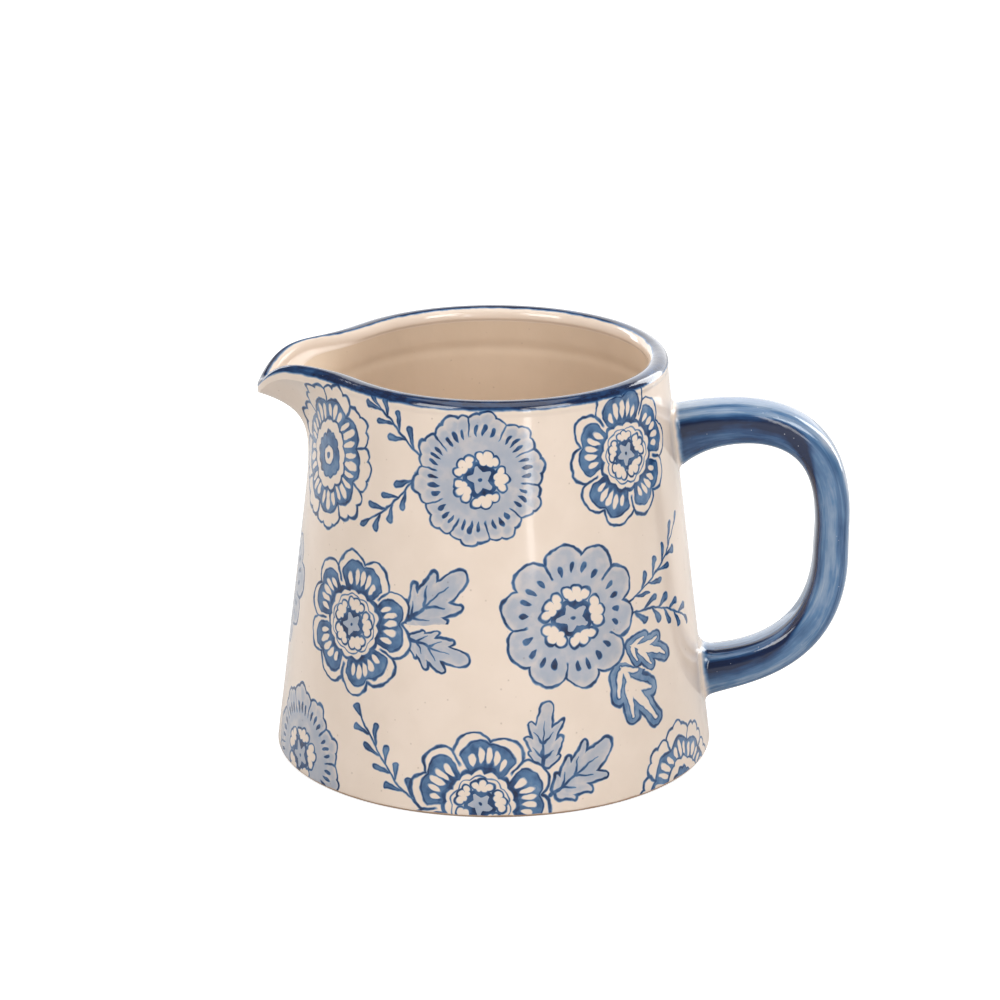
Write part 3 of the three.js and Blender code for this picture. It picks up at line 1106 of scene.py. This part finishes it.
def shell(tops, last):
    """Faces of a closed shell over the grid from each column's top row, given by tops, down to
    row last, and a list that says of each face: 0 outside, 1 inside. Outer points come first."""
    rows, count = len(DEPTHS), len(ANGLES)
    faces, sides = [], []

    def outer(i, j):
        return (i % count) * rows + j

    def inner(i, j):
        return count * rows + outer(i, j)

    def cap(corners, flip):
        faces.append(corners[::-1] if flip else corners)
        sides.append(1)

    for i, top in tops.items():
        for j in range(top, last):
            faces.append((outer(i, j), outer(i, j + 1), outer(i + 1, j + 1), outer(i + 1, j)))
            sides.append(0)
            faces.append((inner(i, j), inner(i + 1, j), inner(i + 1, j + 1), inner(i, j + 1)))
            sides.append(1)
        for j in (top, last):
            cap((outer(i, j), outer(i + 1, j), inner(i + 1, j), inner(i, j)), j == last)
    for i, top in tops.items():
        for neighbour, edge in ((i - 1, i), (i + 1, i + 1)):
            for j in range(top, tops.get(neighbour % count, last)):
                corners = (outer(edge, j), outer(edge, j + 1), inner(edge, j + 1), inner(edge, j))
                cap(corners, neighbour < i)
    return faces, sides


def used_only(points, faces):
    """Drops the points that no face uses."""
    used = np.unique(np.concatenate([np.asarray(face) for face in faces]))
    place = np.full(len(points), -1)
    place[used] = np.arange(len(used))
    return points[used], [tuple(place[list(face)]) for face in faces]


both_skins = np.concatenate([outer_skin.reshape(-1, 3), inner_skin.reshape(-1, 3)])

# %% Wall and beak pieces


def make_shell(name, node, tops, last):
    faces, sides = shell(tops, last)
    points, faces = used_only(both_skins, faces)
    make_piece(name, points, faces, node, [paint_finish, inner_finish], sides)


wall_tops = {i: BEAK_ROWS if i < BEAK_COLUMNS else 0 for i in range(len(ANGLES))}
make_shell("glazed_wall", "body_wall", wall_tops, len(DEPTHS) - 1)
make_shell("glazed_beak", "pouring_spout", dict.fromkeys(range(BEAK_COLUMNS), 0), BEAK_ROWS)

# %% [markdown]
# ## Rim
# The rim is the lip rolled over: it carries the wall's outer skin up, turns it over a half-round
# crown and joins the inner skin. Its paint covers the outside and the crown and stops just inside,
# so a note on each point says how far it is from the paint's nearer edge.

# %% Rim piece
ROLL_PROUD = 0.1  # the roll hardly stands out from the wall below it
CROWN_STEPS = 22
SIDE_STEPS = 7
PAINT_FROM, PAINT_TO = 1.7, 5.7  # mm along the section from its outer foot
BEAK_PAINT = 1.5  # how much sooner the paint stops in the beak
RIM_GRAIN = (240.0, 14.0, 1.6)  # long streaks round the rim, short ones across it


def ease(share):
    return share * share * (3 - 2 * share)


def rim_section(angle):
    """Radii and heights from the outer foot, over the crown and down the inside."""
    outer_foot = outer_radius(angle, LIP_HEIGHT)
    inner_foot = inner_radius(angle, LIP_HEIGHT)
    outer_top = outer_foot + ROLL_PROUD
    inner_top = inner_radius(angle, CHANNEL_EDGE)
    half = (outer_top - inner_top) / 2
    crown = skin_height(angle, 0.0) - half
    low = skin_height(angle, LIP_HEIGHT)
    rise = np.linspace(0, 1, SIDE_STEPS, endpoint=False)
    turn = np.linspace(0, PI, CROWN_STEPS)
    fall = np.linspace(0, 1, SIDE_STEPS + 1)[1:]
    return np.concatenate([
        outer_foot + ROLL_PROUD * ease(rise),
        (outer_top + inner_top) / 2 + half * np.cos(turn),
        inner_top + (inner_foot - inner_top) * ease(fall),
    ]), np.concatenate([
        low + (crown - low) * rise, crown + half * np.sin(turn), crown + (low - crown) * fall
    ])


rim_points = np.array([on_pot(angle, *rim_section(angle)) for angle in ANGLES])
rim_sides = rim_points.shape[1]
rim_angles = np.repeat(ANGLES[:, None], rim_sides, axis=1)
lengths = np.linalg.norm(np.diff(rim_points, axis=1), axis=2)
across = np.insert(np.cumsum(lengths, axis=1), 0, 0.0, axis=1)
paint_to = PAINT_TO - BEAK_PAINT * pull(rim_angles)
rim_grain = np.stack([np.sin(rim_angles), np.cos(rim_angles), across], axis=-1) * RIM_GRAIN
make_piece(
    "painted_rim", rim_points, ring_faces(len(ANGLES), rim_sides), "rim_bead",
    [rim_finish],
    notes={
        "painted": np.minimum(across - PAINT_FROM, paint_to - across),
        "outside": np.clip((PAINT_FROM + 1 - across) * 2, 0, 1),
        "grain": rim_grain,
    },
)

# %% [markdown]
# ## Foot and floor
# The foot is the part of the wall that stands on the table. The potter wipes it clean of glaze,
# so it keeps a thin brown line of bare clay. The floor inside is thrown with the wall and flows
# up into it, so its upper face is a shallow bowl with a rounded edge.

# %% Foot piece
foot_turns = np.linspace(0, PI / 2, 7)[1:-1]


def foot_section(angle):
    heights = list(np.linspace(FOOT_TOP, FOOT_ROUND, 6))
    radii = [cone_radius(z) + wobble(angle, z) for z in heights]
    outer = radii[-1]
    inner = outer - FOOT_WIDTH
    for turn in foot_turns:
        radii.append(outer - FOOT_ROUND * (1 - math.cos(turn)))
        heights.append(FOOT_ROUND * (1 - math.sin(turn)))
    radii += [outer - FOOT_ROUND, (outer + inner) / 2, inner + FOOT_ROUND]
    heights += [0.0, 0.0, 0.0]
    for turn in foot_turns:
        radii.append(inner + FOOT_ROUND * (1 - math.sin(turn)))
        heights.append(FOOT_ROUND * (1 - math.cos(turn)))
    radii += [inner, inner]
    heights += [FOOT_ROUND, FOOT_TOP]
    return np.array(radii), np.array(heights)


foot_points = [on_pot(angle, *foot_section(angle)) for angle in ANGLES]
make_piece(
    "bare_foot", foot_points, ring_faces(len(ANGLES), len(foot_points[0])), "foot_ring",
    [foot_finish],
)

# %% Floor piece
FLOOR_FILLET = 7.0
UNDER_DISH = 0.5
FLOOR_EDGE = 0.4  # how far the floor reaches over the foot
FLOOR_SIDES = 180
RING_DEPTH = 0.07  # throwing rings in the floor
RING_PITCH = 1.9


def floor_profile():
    """Radii and heights from under the floor's middle, round its edge and back over the top."""
    edge = cone_radius(FLOOR_TOP) - WALL
    flat = edge - FLOOR_FILLET
    top = FLOOR_TOP + FLOOR_FILLET
    points = []
    for share in np.linspace(0, 1, 14)[1:]:
        radius = share * (cone_radius(FOOT_TOP) - FOOT_WIDTH + FLOOR_EDGE)
        points.append((radius, FOOT_TOP + UNDER_DISH * (1 - share**4)))
    points.append((edge - FLOOR_EDGE, FOOT_TOP + FLOOR_EDGE))
    points.append((cone_radius(top) - WALL + 0.15, top))
    for turn in np.linspace(0, PI / 2, 12)[1:]:
        points.append((flat + FLOOR_FILLET * math.cos(turn), top - FLOOR_FILLET * math.sin(turn)))
    for share in np.linspace(1, 0, 30)[1:-1]:
        radius = share * flat
        rings = RING_DEPTH * math.sin(radius / RING_PITCH) * min(1, radius / 6)
        points.append((radius, FLOOR_TOP + rings - RING_DEPTH))
    return points


profile = floor_profile()
floor_points = [(0.0, 0.0, FOOT_TOP + UNDER_DISH), (0.0, 0.0, FLOOR_TOP - RING_DEPTH)]
floor_faces = []
count = len(profile)
for i in range(FLOOR_SIDES):
    angle = 2 * PI * i / FLOOR_SIDES
    floor_points += [(r * math.cos(angle), r * math.sin(angle), z) for r, z in profile]
    here, there = 2 + i * count, 2 + (i + 1) % FLOOR_SIDES * count
    floor_faces.append((0, there, here))
    for j in range(count - 1):
        floor_faces.append((here + j, there + j, there + j + 1, here + j + 1))
    floor_faces.append((1, here + count - 1, there + count - 1))
make_piece("jug_floor", floor_points, floor_faces, "base_disc", [inner_finish])

# %% [markdown]
# ## Handle
# The strap is pulled from a roll of clay, so its section is a soft oval that swells towards both
# ends. It is swept along the same two curves as the solid.

# %% Handle line
TOP_ROOT_HEIGHT = 72.7
TOP_ROOT_RISE = 0.22
TOP_ROOT_PULL = 40.0
GRIP_HEIGHT = 44.5
GRIP_PULL_UP = 9.0
GRIP_PULL_DOWN = 26.0
LOW_ROOT_HEIGHT = 14.9
LOW_ROOT_RISE = 0.39
LOW_ROOT_PULL = 7.0
STRAP_HALF_WIDTH = (handle_high[1] - handle_low[1]) / 2
GRIP_HALF_THICKNESS = 3.8
TOP_HALF_THICKNESS = 4.8
LOW_HALF_THICKNESS = 4.5
STRAP_SQUARENESS = 0.66  # a little squarer at the corners than the solid
TOP_FLARE = 3.6
LOW_FLARE = 1.8
FLARE_LENGTH = 0.07
GRIP_SWELL = 0.17  # the strap is this much thicker where it reaches furthest out
GRIP_REACH = handle_high[0] - AXIS_X - GRIP_HALF_THICKNESS - GRIP_SWELL - CLEAR


def away(start, length, rise):
    return start + length * np.array([math.cos(rise), math.sin(rise)])


def cubic(a, b, c, d):
    t = np.linspace(0, 1, 400)[:, None]
    return (1 - t) ** 3 * a + 3 * t * (1 - t) ** 2 * b + 3 * t * t * (1 - t) * c + t**3 * d


top_root = np.array([cone_radius(TOP_ROOT_HEIGHT), TOP_ROOT_HEIGHT])
low_root = np.array([cone_radius(LOW_ROOT_HEIGHT), LOW_ROOT_HEIGHT])
grip = np.array([GRIP_REACH, GRIP_HEIGHT])
upper_curve = cubic(
    top_root, away(top_root, TOP_ROOT_PULL, TOP_ROOT_RISE), grip + (0, GRIP_PULL_UP), grip
)
lower_curve = cubic(
    grip, grip - (0, GRIP_PULL_DOWN), away(low_root, LOW_ROOT_PULL, LOW_ROOT_RISE), low_root
)
strap_curve = np.concatenate([upper_curve, lower_curve[1:]])
strap_runs = np.concatenate([[0], np.cumsum(np.linalg.norm(np.diff(strap_curve, axis=0), axis=1))])
STRAP_LENGTH = strap_runs[-1]
print(f"strap {STRAP_LENGTH:.1f} mm long")


def on_curve(run):
    return np.array([np.interp(run, strap_runs, strap_curve[:, k]) for k in (0, 1)])


def strap_place(run):
    """Centre and direction at a length along the strap; it runs on straight past both ends."""
    within = np.clip(run, 0, STRAP_LENGTH)
    small = 0.05
    step_on = on_curve(min(within + small, STRAP_LENGTH)) - on_curve(max(within - small, 0))
    along = step_on / np.linalg.norm(step_on)
    return on_curve(within) + along * (run - within), along


def squarish(value):
    return math.copysign(abs(value) ** STRAP_SQUARENESS, value)


def strap_point(run, turn):
    """A point on the strap's skin; turn 0 is the side towards the pot."""
    centre, along = strap_place(run)
    share = min(max(run / STRAP_LENGTH, 0), 1)
    ends = TOP_HALF_THICKNESS if share < 0.5 else LOW_HALF_THICKNESS
    thick = ends + (GRIP_HALF_THICKNESS - ends) * (1 - abs(share * 2 - 1))
    through, across = squarish(math.cos(turn)), squarish(math.sin(turn))
    if through > 0:
        thick += TOP_FLARE * math.exp(-share / FLARE_LENGTH)
        thick += LOW_FLARE * math.exp(-(1 - share) / FLARE_LENGTH)
    x = centre[0] + along[1] * through * thick
    z = centre[1] - along[0] * through * thick
    return np.array([x, across * STRAP_HALF_WIDTH, z])


def off_wall(point):
    """Distance of a point from the pot's outer cone, mm."""
    return (math.hypot(point[0], point[1]) - cone_radius(point[2])) / math.hypot(1, TAPER)


def strap_grain(run, turn):
    """The brush went along the strap, so its grain is the strap laid out straight."""
    return (run, 5 * math.cos(turn), 5 * math.sin(turn))


# %% Handle piece
STRAP_SIDES = 56
STRAP_STEPS = 190
RUN_IN = 2.2  # how far the strap goes on into the wall
BLUE_FROM = 1.0  # the blue starts about this far off the wall
strap_turns = -2 * PI * np.arange(STRAP_SIDES) / STRAP_SIDES
strap_steps = np.linspace(-RUN_IN, STRAP_LENGTH + RUN_IN, STRAP_STEPS)
places = [(run, turn) for run in strap_steps for turn in strap_turns]
strap_points = [strap_point(*place) for place in places]
strap_faces = ring_faces(STRAP_STEPS, STRAP_SIDES, joined=False)
strap_faces.append(tuple(range(STRAP_SIDES))[::-1])
strap_faces.append(tuple((STRAP_STEPS - 1) * STRAP_SIDES + i for i in range(STRAP_SIDES)))
make_piece(
    "painted_handle", strap_points, strap_faces, "handle", [handle_finish],
    notes={
        "painted": [off_wall(point) - BLUE_FROM for point in strap_points],
        "grain": [strap_grain(*place) for place in places],
    },
)

# %% [markdown]
# ## Joints
# Where each end of the strap is luted to the pot, wet clay is smoothed round it into a small
# fillet. Each fillet starts on the strap, curves out through the corner and ends flat on the wall.

# %% Joint pieces
FILLET_STEPS = 9
FILLET_REACH = 1.5
CORNER_REACH = 2.0  # the low fillet is this much wider in the inner corner, towards the grip
SKIN_PROUD = 0.02  # how far it stands off the wall's glaze
SKIN_SUNK = 0.03  # and starts below the strap's
TUCK = 0.8  # how deep its hidden back goes into the strap
SINK = np.array([-0.5, 0, 0])  # and into the wall


def find_run(turn, gap, at_top):
    """The length along the strap at which its skin stands a given gap off the wall."""
    low, high = -RUN_IN, STRAP_LENGTH / 3
    if not at_top:
        low, high = STRAP_LENGTH * 2 / 3, STRAP_LENGTH + RUN_IN
    for _ in range(40):
        middle = (low + high) / 2
        if (off_wall(strap_point(middle, turn)) > gap) == at_top:
            high = middle
        else:
            low = middle
    return (low + high) / 2


def onto_wall(point):
    angle = math.atan2(point[1], point[0])
    radius = cone_radius(point[2]) + wobble(angle, point[2]) + SKIN_PROUD
    return np.array([radius * math.cos(angle), radius * math.sin(angle), point[2]])


def fillet(name, node, at_top, widening):
    rings, painted, grain = [], [], []
    run0 = 0 if at_top else STRAP_LENGTH
    corners = [strap_point(find_run(turn, 0.0, at_top), turn) for turn in strap_turns]
    heart = np.mean(corners, axis=0)
    for turn, corner in zip(strap_turns, corners):
        reach = FILLET_REACH + widening * max(math.cos(turn), 0) ** 2
        start = strap_point(find_run(turn, reach, at_top), turn)
        outward = (corner - heart) / np.linalg.norm(corner - heart)
        end = onto_wall(corner + outward * reach)
        corner = onto_wall(corner)
        inward = (heart - corner) / np.linalg.norm(heart - corner)
        ring = [
            (1 - t) ** 2 * start + 2 * t * (1 - t) * corner + t * t * end
            for t in np.linspace(0, 1, FILLET_STEPS)
        ]
        ring[0] = ring[0] + inward * SKIN_SUNK
        ring += [end + SINK, corner + inward * TUCK + SINK, start + inward * TUCK]
        rings.append(ring)
        painted += [off_wall(point) - BLUE_FROM for point in ring]
        grain += [strap_grain(run0 + off_wall(point), turn) for point in ring]
    make_piece(
        name, rings, ring_faces(len(rings), len(rings[0])), node, [handle_finish],
        notes={"painted": painted, "grain": grain},
    )


fillet("upper_joint", "handle_upper_joint", True, 0.0)
fillet("lower_joint", "handle_lower_joint", False, CORNER_REACH)

# %% [markdown]
# ## Stage and light
# A pale sheet under the jug, two tall soft lights behind it at the sides for the bright edges, a
# narrow one in front for the long soft highlight on the belly, two large ones in front to fill,
# one behind as a bright backdrop, and one overhead.

# %% Table
TABLE_REACH = 4.0  # metres
TABLE_DROP = 2e-5  # the foot stands this far clear of the sheet
TABLE_GREY = (0.55, 0.55, 0.55, 1)
TABLE_GLOW = 0.7  # seen by the camera only, so that it lights nothing
corners = [(-1, -1), (1, -1), (1, 1), (-1, 1)]
table_mesh = bpy.data.meshes.new("table")
table_mesh.from_pydata(
    [(x * TABLE_REACH, y * TABLE_REACH, -TABLE_DROP) for x, y in corners], [], [(0, 1, 2, 3)]
)
table = bpy.data.objects.new("table", table_mesh)
bpy.context.scene.collection.objects.link(table)
table_finish = bpy.data.materials.new("table_white")
table_finish.use_nodes = True
table_shader = table_finish.node_tree.nodes["Principled BSDF"]
table_shader.inputs["Base Color"].default_value = TABLE_GREY
table_shader.inputs["Roughness"].default_value = 0.7
table_shader.inputs["Emission Color"].default_value = (1, 1, 1, 1)
seen = out(table_finish.node_tree.nodes.new("ShaderNodeLightPath"), "Is Camera Ray")
wire(seen * TABLE_GLOW, table_shader.inputs["Emission Strength"])
table_mesh.materials.append(table_finish)

# %% Lights
AIM = Vector((AXIS_X * MM, 0, 0.05))
LIGHTS = [
    # name, place and size in metres, watts
    ("left_back", (-0.75, 0.6, 0.35), 0.2, 0.8, 3),
    ("right_back", (0.75, 0.6, 0.35), 0.36, 0.8, 5.4),
    ("front_strip", (0.13, -0.38, 0.16), 0.035, 0.3, 0.17),
    ("front_left", (-0.8, -0.9, 0.85), 0.6, 0.6, 7.3),
    ("front_right", (0.8, -0.9, 0.85), 0.6, 0.6, 7.2),
    ("backdrop", (0.0, 1.2, 0.5), 2.4, 1.2, 14),
    ("overhead", (0.0, -0.1, 1.0), 0.9, 0.9, 4.0),
]
SKY = 0.22

for name, place, width, height, power in LIGHTS:
    lamp = bpy.data.lights.new(name, "AREA")
    lamp.shape = "RECTANGLE"
    lamp.size = width
    lamp.size_y = height
    lamp.energy = power
    light = bpy.data.objects.new(name, lamp)
    bpy.context.scene.collection.objects.link(light)
    light.location = place
    light.visible_camera = False
    light.rotation_euler = (AIM - Vector(place)).to_track_quat("-Z", "Y").to_euler()

world = bpy.data.worlds.new("studio")
bpy.context.scene.world = world
world.use_nodes = True
world.node_tree.nodes["Background"].inputs[0].default_value = (1, 1, 1, 1)
world.node_tree.nodes["Background"].inputs[1].default_value = SKY
bpy.context.scene.view_settings.view_transform = "Standard"
